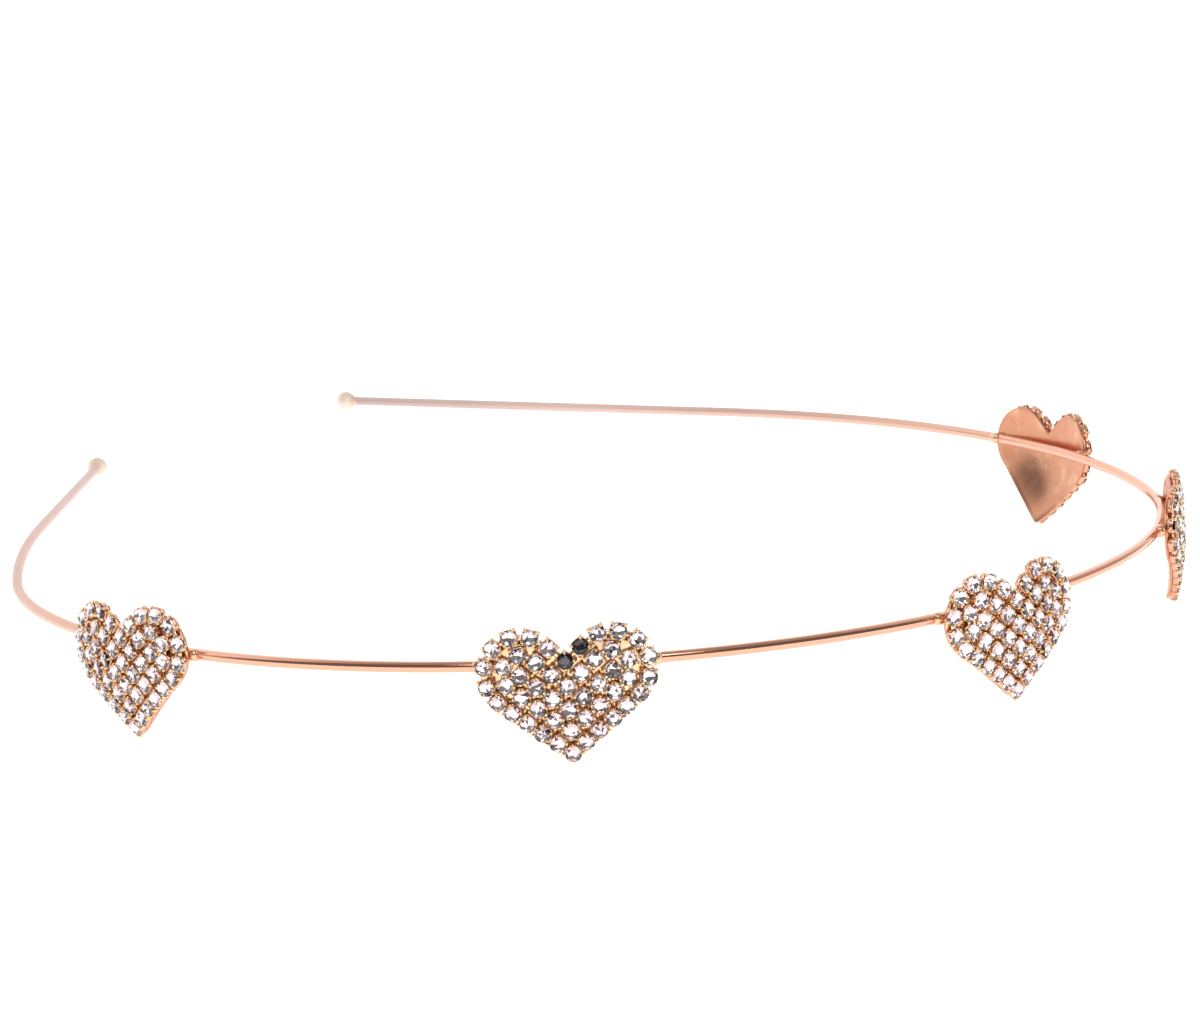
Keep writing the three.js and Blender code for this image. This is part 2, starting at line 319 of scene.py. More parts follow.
class HeadbandSettings(bpy.types.PropertyGroup):
    """Everything that the panel shows."""

    hoop: bpy.props.PointerProperty(type=HoopSizes, name="Hoop", description="Wire and ball ends")
    heart: bpy.props.PointerProperty(type=HeartSizes, name="Heart", description="Plates and solder")
    stone: bpy.props.PointerProperty(type=StoneSizes, name="Stone", description="Stones and claw cups")
    finish: bpy.props.PointerProperty(type=Finishes, name="Finish", description="Colours")
    stage: bpy.props.PointerProperty(type=StageSizes, name="Stage", description="Camera and light")


# Shader maths
class Value:
    """A socket in a node tree; arithmetic on it adds Math nodes."""

    def __init__(self, shader, socket):
        self.shader = shader
        self.socket = socket

    def _math(self, operation, *terms):
        return self.shader.node("ShaderNodeMath", {"operation": operation}, dict(enumerate(terms)))

    def __add__(self, other):
        return self._math("ADD", self, other)

    __radd__ = __add__

    def __sub__(self, other):
        return self._math("SUBTRACT", self, other)

    def __rsub__(self, other):
        return self._math("SUBTRACT", other, self)

    def __mul__(self, other):
        return self._math("MULTIPLY", self, other)

    __rmul__ = __mul__

    def __truediv__(self, other):
        return self._math("DIVIDE", self, other)

    def __rtruediv__(self, other):
        return self._math("DIVIDE", other, self)

    def __pow__(self, other):
        return self._math("POWER", self, other)

    def smooth(self, low, high):
        """Ease from 0 at low to 1 at high."""
        return self.shader.node(
            "ShaderNodeMapRange",
            {"interpolation_type": "SMOOTHSTEP"},
            {"Value": self, "From Min": low, "From Max": high},
        )


class Shader:
    """A node tree under construction."""

    def __init__(self, tree):
        self.tree = tree
        tree.nodes.clear()

    def node(self, kind, settings=None, inputs=None, output=0):
        made = self.tree.nodes.new(kind)
        for name, value in (settings or {}).items():
            setattr(made, name, value)
        for name, value in (inputs or {}).items():
            self.feed(made.inputs[name], value)
        return Value(self, made.outputs[output]) if made.outputs else made

    def feed(self, socket, value):
        if isinstance(value, Value):
            self.tree.links.new(value.socket, socket)
        elif socket.type == "RGBA":
            socket.default_value = (*value, 1)
        else:
            socket.default_value = value

    def place(self):
        return self.node("ShaderNodeTexCoord", output="Object")

    def axis(self, vector, name):
        return self.node("ShaderNodeSeparateXYZ", inputs={"Vector": vector}, output=name)

    def grain(self, scale, detail=2):
        """Noise between 0 and 1, with its scale in features per metre."""
        inputs = {"Vector": self.place(), "Scale": scale, "Detail": detail}
        return self.node("ShaderNodeTexNoise", inputs=inputs)

    def mix(self, first, second, share):
        return self.node("ShaderNodeMix", {"data_type": "RGBA"}, {0: share, 6: first, 7: second}, output=2)

    def bump(self, height, strength, distance):
        inputs = {"Height": height, "Strength": strength, "Distance": distance}
        return self.node("ShaderNodeBump", inputs=inputs)

    def attribute(self, name):
        return self.node("ShaderNodeAttribute", {"attribute_name": name}, output="Fac")


def new_finish(name):
    material = bpy.data.materials.new(name)
    material.use_nodes = True
    return material, Shader(material.node_tree)


def surface(shader, **inputs):
    """Ends a finish with its surface; names use _ for the spaces of the sockets."""
    named = {name.replace("_", " "): value for name, value in inputs.items()}
    body = shader.node("ShaderNodeBsdfPrincipled", inputs=named)
    shader.node("ShaderNodeOutputMaterial", inputs={"Surface": body})


def rose_wire_finish(colours):
    """Polished rose plating with a painted glare that turns it paler towards the ends of the wire, where it
    also grows duller.
    """
    material, shader = new_finish("rose_wire")
    along = shader.axis(shader.place(), "Y")
    # Painted glare: the far legs are painted paler
    pale = along.smooth(*GLARE_STRETCH)
    dull = along.smooth(*DULL_STRETCH)
    cloud = shader.grain(90, detail=3)
    fine = shader.grain(1500)
    plating = shader.mix(colours.rose_wire, colours.rose_pale, pale)
    worn = shader.mix(plating, colours.rose_deep, cloud.smooth(0.5, 0.85) * 0.12)
    surface(
        shader,
        Base_Color=worn,
        Metallic=1 - dull * 0.7,
        Roughness=0.05 + dull * 0.35 + cloud * 0.06 + fine * 0.04,
        Normal=shader.bump(fine, strength=0.06, distance=0.1 * MM),
    )
    return material


def ball_finish(colours):
    """Satin cream plating with faint rose clouds, warmer on the solder of the neck."""
    material, shader = new_finish("cream_gold")
    cloud = shader.grain(700, detail=3)
    tone = shader.mix(colours.cream, colours.rose_pale, cloud.smooth(0.5, 0.9) * 0.4)
    surface(
        shader,
        Base_Color=shader.mix(tone, colours.solder, shader.attribute("neck") * 0.6),
        Metallic=0.1,
        Roughness=0.38 + cloud * 0.1,
    )
    return material


def rose_plate_finish(colours):
    """Pressed and polished rose plating with a faint ripple and warm stains."""
    material, shader = new_finish("rose_plate")
    stain = shader.grain(260, detail=4)
    ripple = shader.grain(420)
    fine = shader.grain(4200)
    tone = shader.mix(colours.rose, colours.rose_deep, stain.smooth(0.45, 0.8) * 0.45)
    tone = shader.mix(tone, colours.claw, ripple.smooth(0.5, 0.75) * 0.35)
    surface(
        shader,
        Base_Color=tone,
        Metallic=1.0,
        Roughness=0.14 + stain * 0.14 + fine * 0.05,
        Normal=shader.bump(ripple + fine * 0.1, strength=0.12, distance=0.2 * MM),
    )
    return material


def claw_finish(name, tone, deep):
    """Warm gold plating, cloudy with a deeper tone."""
    material, shader = new_finish(name)
    cloud = shader.grain(900, detail=3)
    fine = shader.grain(6000)
    surface(
        shader,
        Base_Color=shader.mix(tone, deep, cloud.smooth(0.42, 0.75) * 0.6),
        Metallic=1.0,
        Roughness=0.12 + cloud * 0.14,
        Normal=shader.bump(fine, strength=0.1, distance=0.05 * MM),
    )
    return material


def solder_finish(colours):
    """Lumpy plated solder."""
    material, shader = new_finish("solder_gold")
    lump = shader.grain(1600, detail=3)
    tone = shader.mix(colours.solder, colours.rose, lump.smooth(0.4, 0.75) * 0.6)
    surface(
        shader,
        Base_Color=tone,
        Metallic=1.0,
        Roughness=0.16 + lump * 0.2,
        Normal=shader.bump(lump, strength=0.35, distance=0.2 * MM),
    )
    return material


def cut_glass_finish(colours):
    """Clear glass, some stones with a faint tinge."""
    material, shader = new_finish("cut_glass")
    tinge = shader.attribute("tinge")
    tone = shader.mix(colours.glass, colours.glass_tint, tinge.smooth(0.35, 1))
    surface(shader, Base_Color=tone, Roughness=0.01, IOR=1.56, Transmission_Weight=1.0)
    return material


def silvering_finish(colours):
    """Silver behind a stone with painted reflections: some facets painted a pinkish half-tone, some painted
    dark as shade, and the silver lost altogether on a few stones.
    """
    material, shader = new_finish("silvering")
    facet = shader.attribute("facet")
    cloud = shader.grain(1400)
    # Painted reflection and painted shade on the silvered facets, by their facet value
    tone = shader.mix(colours.silver, colours.silver_painted_half_tone, facet.smooth(0.25, 0.5) * 0.8 + cloud * 0.2)
    tone = shader.mix(tone, colours.silver_painted_shade, facet.smooth(LIT_FACET, 1))
    tone = shader.mix(tone, colours.silver_dull, shader.attribute("dull"))
    surface(shader, Base_Color=tone, Metallic=1.0, Roughness=0.03 + cloud * 0.08)
    return material


def floor_finish(colours):
    """Matt pale paper with a faint cloud."""
    material, shader = new_finish("pale_floor")
    cloud = shader.grain(3, detail=3)
    white = [min(1, part * FLOOR_CLOUD) for part in colours.floor]
    tone = shader.mix(colours.floor, white, cloud)
    surface(
        shader,
        Base_Color=tone,
        Roughness=0.75 + cloud * 0.1,
        Specular_IOR_Level=0.0,
        Emission_Color=tone,
        Emission_Strength=0.62,
    )
    return material


# Shapes that the pieces share
class Hoop:
    """Centre line of the wire: two bends and a straight leg on each side of the middle heart."""

    def __init__(self, sizes):
        self.sizes = sizes
        self.bends = {
            -1: (
                (sizes.front_radius, sizes.left_front_turn),
                (sizes.left_shoulder_radius, sizes.left_shoulder_turn),
            ),
            1: (
                (sizes.front_radius, sizes.right_front_turn),
                (sizes.right_shoulder_radius, sizes.right_shoulder_turn),
            ),
        }
        self.legs = {-1: sizes.left_leg, 1: sizes.right_leg}
        # From the plane of the wire to the frame of the part
        self.lift = Matrix.Translation((*sizes.middle, sizes.wire_height))
        self.lift[2][1] = -sizes.wire_slope

    def end(self, sign):
        """Signed distance of an end from the middle heart."""
        return sign * (sum(radius * turn for radius, turn in self.bends[sign]) + self.legs[sign])

    def along(self, distance):
        """Point in the plane of the wire and heading at a signed distance from the middle heart."""
        sign = -1 if distance < 0 else 1
        rest = abs(distance)
        heading = 0
        point = Vector((0, 0, 0))
        for radius, turn in self.bends[sign]:
            swept = min(rest / radius, turn)
            chord = 2 * radius * math.sin(swept / 2)
            course = heading + swept / 2
            point += chord * Vector((sign * math.cos(course), math.sin(course), 0))
            heading += swept
            rest -= swept * radius
        point += max(rest, 0) * Vector((sign * math.cos(heading), math.sin(heading), 0))
        return point, Vector((math.cos(heading), sign * math.sin(heading), 0))


def turned_to(direction, place):
    """Matrix that stands a shape's Z axis along a direction at a place."""
    turn = UP.rotation_difference(direction).to_matrix().to_4x4()
    return Matrix.Translation(place) @ turn


def heart_frame(hoop, sizes, heart):
    """Frame of a heart: X along the wire, Y up, Z outward, then its swing, tilt and lean."""
    point, tangent = hoop.along(heart.place * MM)
    place = hoop.lift @ point
    place.z = sizes.height
    axes = Matrix((tangent, UP, tangent.cross(UP))).transposed().to_4x4()
    swing = Matrix.Rotation(math.radians(heart.swing), 4, "Y")
    tilt = Matrix.Rotation(math.radians(heart.tilt), 4, "X")
    lean = Matrix.Rotation(math.radians(-heart.lean), 4, "Z")
    return Matrix.Translation(place) @ axes @ swing @ tilt @ lean


class Outline:
    """Right half of a heart's outline at an inset: the edge from the tip, the lobe, the notch.

    Without a notch it ends where the lobe begins.
    """

    def __init__(self, lobe, lobe_radius, tip, notch=None, inset=0, bulge=0):
        reach = math.hypot(lobe.x, lobe.y + tip)
        lean = math.asin(lobe.x / reach) + math.asin(lobe_radius / reach)
        radius = lobe_radius - inset
        last = -lean
        if notch is not None:
            drop = lobe.y - notch
            slope = math.atan2(drop, lobe.x) + math.asin(radius / math.hypot(lobe.x, drop))
            last = slope + math.pi / 2
        corner = Vector((0, inset / math.sin(lean) - tip))
        outward = Vector((math.cos(lean), -math.sin(lean)))
        edge_end = lobe + radius * outward
        edge_steps = EDGE_STEPS if bulge else 1
        shares = [step / edge_steps for step in range(edge_steps)]
        # A parabola gives the edge its bulge
        self.corners = [corner.lerp(edge_end, t) + 4 * t * (1 - t) * bulge * outward for t in shares]
        for step in range(LOBE_STEPS + 1):
            around = -lean + (last + lean) * step / LOBE_STEPS
            self.corners.append(lobe + radius * Vector((math.cos(around), math.sin(around))))
        if notch is not None:
            self.corners.append(Vector((0, notch)))
        else:
            del self.corners[edge_steps + 1 :]
        self.length = sum((b - a).length for a, b in zip(self.corners, self.corners[1:]))

    def at(self, distance):
        """Point and heading at a distance from the tip."""
        for first, second in zip(self.corners, self.corners[1:]):
            run = (second - first).length
            if distance <= run or second is self.corners[-1]:
                break
            distance -= run
        course = (second - first) / run
        return first + course * distance, math.atan2(course.y, course.x)

    def spaced(self, steps, edge_steps=0, pitch=0):
        """Points and headings: first some steps at a pitch, then the rest evenly, both ends included."""
        rest = (self.length - edge_steps * pitch) / (steps - edge_steps)
        return [
            self.at(min(step, edge_steps) * pitch + max(step - edge_steps, 0) * rest)
            for step in range(steps + 1)
        ]


def mirrored(places, open_row=False):
    """Both halves of a row whose first place, and last if closed, lie on the middle line."""
    inner = places[1:] if open_row else places[1:-1]
    left = [(Vector((-point.x, point.y)), -heading) for point, heading in reversed(inner)]
    return places + left


def stone_rows(sizes):
    """Places of the stones in a heart's plane, as one list of points and headings for each row."""
    lobe = Vector((sizes.lobe_spread, sizes.lobe_height))
    rows = []
    for row in ROWS:
        open_row = row.notch is None
        notch = None if open_row else row.notch * MM
        half = Outline(lobe, sizes.lobe_radius, sizes.tip_depth, notch, row.inset * MM)
        steps = (row.stones - 1) // 2 if open_row else row.stones // 2
        edge_steps = steps // 2 if row.edge_pitch else 0
        places = mirrored(half.spaced(steps, edge_steps, row.edge_pitch * MM), open_row)
        # On the middle line a cup stands on its corner
        turned = math.pi / 4
        rows.append([(at, heading if abs(at.x) > ON_MIDDLE else turned) for at, heading in places])
    return rows


def dome_frame(sizes, point, level):
    """Frame on the dome at a point of the heart's plane: Z stands straight out of the dome."""
    radius = sizes.dome_radius + level
    rise = math.sqrt(radius**2 - point.length_squared)
    outward = Vector((*point, rise)).normalized()
    place = Vector((*point, rise + sizes.back_offset - sizes.dome_radius))
    return turned_to(outward, place)


def finished(name, bm, materials, slot, *nodes, smooth=True):
    """Makes a piece from a mesh under construction and hangs it on the frame."""
    mesh = bpy.data.meshes.new(name)
    bm.to_mesh(mesh)
    bm.free()
    for material in materials:
        mesh.materials.append(material)
    if smooth:
        mesh.shade_smooth()
    else:
        mesh.shade_flat()
    piece = bpy.data.objects.new(name, mesh)
    bpy.context.scene.collection.objects.link(piece)
    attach(piece, BODY)
    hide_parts(*nodes)


def verts_of(parts):
    return [part for part in parts if isinstance(part, bmesh.types.BMVert)]


def edges_of(parts):
    return [part for part in parts if isinstance(part, bmesh.types.BMEdge)]


def open_edges(bm):
    return [edge for edge in bm.edges if edge.is_boundary]


def sharp_edges(bm):
    return [edge for edge in bm.edges if edge.calc_face_angle(0) > SHARP]


def rounded(bm, edges, offset, segments=ROUND_STEPS):
    """Rounds some edges of a mesh, or cuts them off with one segment."""
    return bmesh.ops.bevel(
        bm, geom=edges, offset=offset, segments=segments, profile=0.5, affect="EDGES", material=-1
    )


def repeated(bm, template, matrices):
    """Adds a copy of a template to a mesh at each matrix, and frees the template."""
    shape = bpy.data.meshes.new("repeat")
    template.to_mesh(shape)
    template.free()
    for matrix in matrices:
        first = len(bm.verts)
        bm.from_mesh(shape)
        bmesh.ops.transform(bm, matrix=matrix, verts=bm.verts[first:])
    bpy.data.meshes.remove(shape)


def flattened(bm):
    """Cuts a closed mesh level with the surface under the headband."""
    everything = bm.verts[:] + bm.edges[:] + bm.faces[:]
    bmesh.ops.bisect_plane(bm, geom=everything, plane_no=UP, clear_inner=True)
    cut = open_edges(bm)
    if cut:
        bmesh.ops.holes_fill(bm, edges=cut)
    bmesh.ops.recalc_face_normals(bm, faces=bm.faces[:])


# Wire hoop and ball ends
def wire_mesh(hoop):
    """Round section swept along both sides of the hoop from the middle heart."""
    sizes = hoop.sizes
    bm = bmesh.new()
    upright = Matrix.Rotation(math.pi / 2, 4, "Y")
    bmesh.ops.create_circle(bm, segments=WIRE_SIDES, radius=sizes.wire_diameter / 2, matrix=upright)
    section = bm.edges[:]
    for sign in (-1, 1):
        last = section
        travelled = 0
        for radius, turn in hoop.bends[sign]:
            point, tangent = hoop.along(sign * travelled)
            swept = bmesh.ops.spin(
                bm,
                geom=last,
                cent=point + radius * UP.cross(tangent),
                axis=UP,
                angle=sign * turn,
                steps=math.ceil(turn / ARC_STEP),
            )
            last = edges_of(swept["geom_last"])
            travelled += radius * turn
        tangent = hoop.along(sign * travelled)[1]
        leg = bmesh.ops.extrude_edge_only(bm, edges=last)["geom"]
        bmesh.ops.translate(bm, vec=sign * hoop.legs[sign] * tangent, verts=verts_of(leg))
        bmesh.ops.edgeloop_fill(bm, edges=[edge for edge in edges_of(leg) if edge.is_boundary])
    bmesh.ops.recalc_face_normals(bm, faces=bm.faces[:])
    bmesh.ops.transform(bm, matrix=hoop.lift, verts=bm.verts[:])
    return bm


def ball_mesh(hoop, sign):
    """Ball with its solder neck, turned about the end of the wire."""
    sizes = hoop.sizes
    radius = sizes.ball_diameter / 2
    meeting = math.asin(sizes.neck_diameter / sizes.ball_diameter)
    bm = bmesh.new()
    pole = bmesh.ops.create_vert(bm, co=(0, 0, radius))["vert"]
    profile = bmesh.ops.spin(bm, geom=pole, axis=(0, 1, 0), angle=math.pi - meeting, steps=BALL_STEPS)
    last = verts_of(profile["geom_last"])
    rim = last[0].co.copy()
    foot = Vector((sizes.wire_diameter * NECK_FOOT, 0, rim.z - sizes.neck_length))
    for share, pinch in NECK_CURVE:
        last = bmesh.ops.extrude_vert_indiv(bm, verts=last)["verts"]
        place = rim.lerp(foot, share)
        place.x *= pinch
        last[0].co = place
    line = bm.verts[:] + bm.edges[:]
    bmesh.ops.spin(bm, geom=line, axis=UP, angle=2 * math.pi, steps=BALL_SIDES, use_merge=True)
    bmesh.ops.remove_doubles(bm, verts=bm.verts[:], dist=SAME_PLACE)
    bmesh.ops.holes_fill(bm, edges=open_edges(bm))
    bmesh.ops.recalc_face_normals(bm, faces=bm.faces[:])
    neck = bm.verts.layers.float.new("neck")
    for vert in bm.verts:
        vert[neck] = float(vert.co.z < rim.z)
    point, tangent = hoop.along(hoop.end(sign))
    bmesh.ops.transform(bm, matrix=turned_to(sign * tangent, hoop.lift @ point), verts=bm.verts[:])
    return bm


class HEADBAND_OT_wire_hoop(bpy.types.Operator):
    """Sweep the sprung wire"""

    bl_idname = "headband.wire_hoop"
    bl_label = "Wire hoop"

    def execute(self, context):
        settings = context.scene.headband
        bm = wire_mesh(Hoop(settings.hoop))
        finished("wire_hoop", bm, [rose_wire_finish(settings.finish)], "rose_gold", "band")
        return {"FINISHED"}


class HEADBAND_OT_ball_ends(bpy.types.Operator):
    """Turn a ball on each end of the wire"""

    bl_idname = "headband.ball_ends"
    bl_label = "Ball ends"

    def execute(self, context):
        settings = context.scene.headband
        hoop = Hoop(settings.hoop)
        finish = ball_finish(settings.finish)
        for name, sign in SIDES:
            finished(f"ball_end_{name}", ball_mesh(hoop, sign), [finish], "rose_gold", "band")
        return {"FINISHED"}


# Plates and solder
def plate_mesh(sizes, margin):
    """Pressed heart, hollow behind, with a rounded rim and tip; its front has the second finish."""
    lobe = Vector((sizes.plate_lobe_spread, sizes.plate_lobe_height + margin))
    half = Outline(
        lobe,
        sizes.plate_lobe_radius + margin,
        sizes.plate_tip_depth + margin,
        sizes.plate_notch + 2 * margin,
        bulge=sizes.plate_bulge + margin,
    )
    points = [point for point, _ in mirrored(half.spaced(OUTLINE_STEPS))]
    bm = bmesh.new()
    bmesh.ops.create_circle(bm, segments=len(points), radius=1)
    for vert, point in zip(bm.verts, points):
        vert.co = (*point, 0)
    lowest = min(point.y for point in points)
    tip = [vert for vert in bm.verts if vert.co.y < lowest + sizes.tip_round]
    for _ in range(TIP_PASSES):
        bmesh.ops.smooth_vert(bm, verts=tip, factor=0.5, use_axis_x=True, use_axis_y=True)
    ring = bm.edges[:]
    # The space of the scaling has its origin at the middle of the dish
    space = Matrix.Translation((0, DISH_DROP, 0))
    scaled = 1
    for share in DISH_SHARES:
        inner = bmesh.ops.extrude_edge_only(bm, edges=ring)["geom"]
        factor = share / scaled
        bmesh.ops.scale(bm, vec=(factor, factor, 1), space=space, verts=verts_of(inner))
        scaled = share
        ring = [edge for edge in edges_of(inner) if edge.is_boundary]
    bmesh.ops.edgeloop_fill(bm, edges=ring)
    for vert in bm.verts:
        vert.co = dome_frame(sizes, vert.co.xy, 0).translation
    front = bmesh.ops.extrude_face_region(bm, geom=bm.faces[:])["geom"]
    bmesh.ops.translate(bm, vec=sizes.plate_thickness * UP, verts=verts_of(front))
    bmesh.ops.recalc_face_normals(bm, faces=bm.faces[:])
    rounded(bm, sharp_edges(bm), sizes.rim_round)
    for face in bm.faces:
        face.material_index = 1 if face.normal.z > OUTWARD else 0
    return bm


class HEADBAND_OT_heart_plates(bpy.types.Operator):
    """Press the five hollow hearts behind the stones"""

    bl_idname = "headband.heart_plates"
    bl_label = "Heart plates"

    def execute(self, context):
        settings = context.scene.headband
        hoop = Hoop(settings.hoop)
        colours = settings.finish
        front = claw_finish("plate_front_gold", colours.claw, colours.claw_deep)
        finishes = [rose_plate_finish(colours), front]
        for number, heart in enumerate(HEARTS, 1):
            bm = plate_mesh(settings.heart, heart.margin * MM)
            bmesh.ops.transform(bm, matrix=heart_frame(hoop, settings.heart, heart), verts=bm.verts[:])
            flattened(bm)
            finished(f"heart_plate_{number}", bm, finishes, "rose_gold", "band")
        return {"FINISHED"}


def solder_mesh(hoop, sizes, heart, side):
    """Lump of solder along the wire at one edge of a heart, a little uneven."""
    bm = bmesh.new()
    radius = sizes.tab_diameter / 2
    bmesh.ops.create_cone(
        bm, cap_ends=True, segments=SOLDER_SIDES, radius1=radius, radius2=radius, depth=sizes.tab_length
    )
    rounded(bm, sharp_edges(bm), sizes.tab_diameter * ROUND_SHARE)
    point, tangent = hoop.along(heart.place * MM + side * sizes.tab_place)
    whole = heart_frame(hoop, sizes, heart)
    middle = hoop.lift @ point
    middle += (sizes.tab_offset - (whole.inverted() @ middle).z) * whole.col[2].xyz
    bmesh.ops.transform(bm, matrix=turned_to(tangent, middle), verts=bm.verts[:])
    for vert in bm.verts:
        swell = 1 - SOLDER_SWELL + SOLDER_SWELL * noise.noise(vert.co / SOLDER_LUMP)
        vert.co = middle + swell * (vert.co - middle)
    return bm


class HEADBAND_OT_solder(bpy.types.Operator):
    """Solder the plates to the wire at both their edges"""

    bl_idname = "headband.solder"
    bl_label = "Solder"

    def execute(self, context):
        settings = context.scene.headband
        hoop = Hoop(settings.hoop)
        finish = solder_finish(settings.finish)
        for number, heart in enumerate(HEARTS, 1):
            for name, side in SIDES:
                bm = solder_mesh(hoop, settings.heart, heart, side)
                finished(f"solder_{number}_{name}", bm, [finish], "rose_gold", "band")
        return {"FINISHED"}


# Claw cups and stones
def cup_template(sizes):
    """Square cup with cut corners and a claw at each of them, its origin at the stone's widest part."""
    bm = bmesh.new()
    middle = Vector((0, 0, -sizes.cup_drop - sizes.cup_depth / 2))
    block = Matrix.Diagonal((sizes.cup_side, sizes.cup_side, sizes.cup_depth, 1))
    bmesh.ops.create_cube(bm, size=1, matrix=Matrix.Translation(middle) @ block)
    uprights = [
        edge for edge in bm.edges if abs(edge.verts[0].co.z - edge.verts[1].co.z) > sizes.cup_depth / 2
    ]
    rounded(bm, uprights, sizes.cup_corner, segments=1)
    seat = [face for face in bm.faces if face.normal.z > OUTWARD]
    bmesh.ops.inset_region(bm, faces=seat, thickness=sizes.cup_wall, use_even_offset=True)
    bmesh.ops.translate(bm, vec=-sizes.seat_depth * UP, verts=seat[0].verts[:])
    lean = Matrix.Rotation(-sizes.claw_lean, 4, "Y")
    stand = Matrix.Translation((sizes.claw_reach, 0, -sizes.claw_drop))
    for corner in range(4):
        claw = bmesh.ops.create_cone(
            bm,
            cap_ends=True,
            segments=CLAW_SIDES,
            radius1=sizes.claw_diameter / 2,
            radius2=sizes.claw_tip_diameter / 2,
            depth=sizes.claw_length,
        )["verts"]
        tip = [edge for edge in bm.edges if all(v in claw and v.co.z > 0 for v in edge.verts)]
        blunt = rounded(bm, tip, sizes.claw_tip_diameter * ROUND_SHARE, segments=1)
        verts = {vert for vert in claw if vert.is_valid} | set(blunt["verts"])
        turn = Matrix.Rotation(math.radians(45 + 90 * corner), 4, "Z")
        bmesh.ops.transform(bm, matrix=turn @ stand @ lean, verts=list(verts))
    bmesh.ops.recalc_face_normals(bm, faces=bm.faces[:])
    for face in bm.faces:
        face.material_index = 1 if face.calc_area() > WALL_AREA and face.normal.z < OUTWARD else 0
    return bm


def link_matrices(heart, stone, rows):
    """Places of the straps between neighbouring cups of each row, in the heart's plane."""
    matrices = []
    for places in rows:
        points = [point for point, _ in places]
        following = points[1:] + points[:1]
        for first, second in zip(points, following):
            run = second - first
            if run.length > LINK_REACH * stone.cup_side:
                continue
            seat = dome_frame(heart, (first + second) / 2, stone.link_level)
            turn = Matrix.Rotation(math.atan2(run.y, run.x), 4, "Z")
            size = Matrix.Diagonal((run.length, stone.link_width, stone.link_thickness, 1))
            matrices.append(seat @ turn @ size)
    return matrices


class HEADBAND_OT_claw_cups(bpy.types.Operator):
    """Stand a claw cup under every stone and link the cups of each row"""

    bl_idname = "headband.claw_cups"
    bl_label = "Claw cups"

    def execute(self, context):
        settings = context.scene.headband
        hoop = Hoop(settings.hoop)
        colours = settings.finish
        finishes = [
            claw_finish("claw_gold", colours.claw, colours.claw_deep),
            claw_finish("cup_rose", colours.rose_wire, colours.rose),
        ]
        chance = random.Random(CUP_SEED)
        rows = stone_rows(settings.heart)
        seats = [
            dome_frame(settings.heart, point, settings.stone.girdle_level)
            @ Matrix.Rotation(heading + chance.gauss(0, settings.stone.cup_play), 4, "Z")
            for row in rows
            for point, heading in row
        ]
        links = link_matrices(settings.heart, settings.stone, rows)
        for number, heart in enumerate(HEARTS, 1):
            bm = bmesh.new()
            repeated(bm, cup_template(settings.stone), seats)
            bar = bmesh.new()
            bmesh.ops.create_cube(bar, size=1)
            repeated(bm, bar, links)
            bmesh.ops.transform(bm, matrix=heart_frame(hoop, settings.heart, heart), verts=bm.verts[:])
            finished(f"claw_cups_{number}", bm, finishes, "rose_gold", f"heart_stones_{number}")
        return {"FINISHED"}


def stone_template(sizes):
    """Round cut stone: table, star, kite and girdle facets in front, silvered facets behind."""
    girdle = sizes.girdle_diameter / 2
    bm = bmesh.new()

    def ring(segments, radius, height, turn=0.0):
        matrix = Matrix.Translation((0, 0, height)) @ Matrix.Rotation(turn, 4, "Z")
        bmesh.ops.create_circle(bm, segments=segments, radius=radius, matrix=matrix)

    table = sizes.table_diameter / 2
    half_step = math.pi / TABLE_SIDES
    star = sizes.star_diameter / 2
    flat = star * math.cos(half_step)
    ring(TABLE_SIDES, table, sizes.crown_height)
    ring(TABLE_SIDES, star, sizes.crown_height * (girdle - flat) / (girdle - table), half_step)
    ring(2 * TABLE_SIDES, girdle, 0)
    back_star = sizes.back_star_diameter / 2
    back_flat = back_star * math.cos(half_step)
    ring(TABLE_SIDES, back_star, -sizes.back_depth * (1 - back_flat / girdle), half_step)
    chance = random.Random(BACK_SEED)
    for vert in bm.verts:
        if vert.co.z < 0:
            vert.co.z -= chance.uniform(0, sizes.back_play)
    bmesh.ops.create_vert(bm, co=(*BACK_POINT, -sizes.back_depth))
    bmesh.ops.convex_hull(bm, input=bm.verts[:])
    bmesh.ops.delete(bm, geom=[edge for edge in bm.edges if edge.is_wire], context="EDGES")
    bmesh.ops.delete(bm, geom=[vert for vert in bm.verts if not vert.link_faces], context="VERTS")
    bmesh.ops.dissolve_limit(bm, angle_limit=FLAT, verts=bm.verts[:], edges=bm.edges[:])
    bmesh.ops.recalc_face_normals(bm, faces=bm.faces[:])
    for face in bm.faces:
        face.material_index = 0 if face.calc_center_median().z > 0 else 1
    return bm


